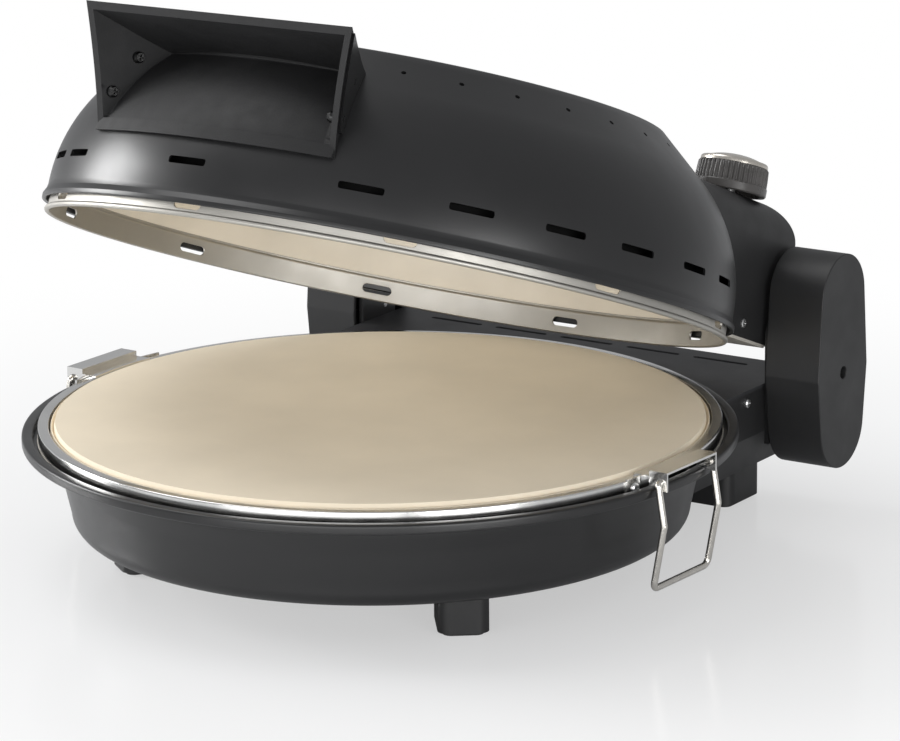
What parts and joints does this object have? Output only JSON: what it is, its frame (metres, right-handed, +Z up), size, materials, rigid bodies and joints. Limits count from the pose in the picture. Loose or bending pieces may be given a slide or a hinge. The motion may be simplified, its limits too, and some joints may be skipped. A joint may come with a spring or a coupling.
{
  "type": "electric pizza oven",
  "caption": "Round countertop pizza oven with a lift-out stone tray with wire bails, a domed hinged lid with a scoop handle, and a thermostat knob at the hinge",
  "frame": {"origin": "on the table, under the middle of the whole object's box, 18.4 mm behind the dish's centre", "axes": "+Z up, +Y from the front handle towards the hinge, +X to the right seen from the front"},
  "size_m": [0.3558, 0.3804, 0.2872],
  "materials": {
    "black_enamel": "satin black heat-proof paint",
    "grey_paint": "satin grey paint",
    "polished_steel": "polished stainless sheet",
    "reflector_steel": "bright rolled sheet",
    "zinc": "bright zinc plate",
    "dark_screw": "blackened",
    "nickel_wire": "bright nickel plate",
    "heater_tube": "heat-tinted dull",
    "fired_clay": "matt, lightly sanded fired clay",
    "black_mould": "fine textured",
    "knob_mould": "satin, ribbed",
    "knob_metal": "satin nickel",
    "rubber": "matt",
    "pale_block": "matt",
    "bronze": "plain turned"
  },
  "bodies": {
    "base": {"base_dish": "black_enamel", "dish_lip": "black_enamel", "heat_shield": "reflector_steel", "lower_heater": "heater_tube", "lower_heater_clips": "zinc", "tray_ring": "polished_steel", "pizza_stone": "fired_clay", "right_bracket": "polished_steel", "left_bracket": "polished_steel", "bracket_screws": "zinc", "front_feet": "black_mould", "rear_feet": "black_mould", "foot_pads": "rubber", "foot_screws": "zinc", "base_neck": "black_mould", "neck_top_plate": "grey_paint", "neck_screws": "zinc", "terminal_block": "pale_block", "cord_gland": "black_mould", "right_cheek": "black_enamel", "left_cheek": "black_enamel", "cheek_screws": "zinc", "hinge_axle": "zinc", "axle_nuts": "zinc", "right_hinge_cover": "black_mould", "left_hinge_cover": "black_mould", "cover_screws": "zinc"},
    "lid": {"lid_shell": "black_enamel", "lid_skirt": "polished_steel", "lid_reflector": "reflector_steel", "upper_heater": "heater_tube", "upper_heater_clips": "zinc", "lid_neck": "black_mould", "lid_neck_plate": "reflector_steel", "lid_neck_screws": "zinc", "hinge_bushes": "bronze", "thermostat": "pale_block", "lid_handle": "black_mould", "handle_brackets": "black_enamel", "handle_screws": "dark_screw"},
    "knob": {"thermostat_shaft": "zinc", "knob_grip": "knob_mould", "knob_cap": "knob_metal"},
    "right_bail": {"right_bail": "nickel_wire"},
    "left_bail": {"left_bail": "nickel_wire"}
  },
  "joints": [
    {"name": "lid_hinge", "type": "hinge", "parent": "base", "child": "lid", "pos_m": [0, 0.1556, 0.091], "axis": [-1, 0, 0], "range_deg": [-21.4, 70]},
    {"name": "thermostat_turn", "type": "hinge", "parent": "lid", "child": "knob", "pos_m": [0.094, 0.1527, 0.16034], "axis": [0, 0.3649, 0.9311], "range_deg": [0, 270]},
    {"name": "right_bail_swing", "type": "hinge", "parent": "base", "child": "right_bail", "pos_m": [0.17241, -0.02412, 0.0714], "axis": [-0.0332, -0.9995, 0], "range_deg": [-3, 165]},
    {"name": "left_bail_swing", "type": "hinge", "parent": "base", "child": "left_bail", "pos_m": [-0.17241, -0.01268, 0.0714], "axis": [0.0332, 0.9995, 0], "range_deg": [-3, 165]}
  ]
}
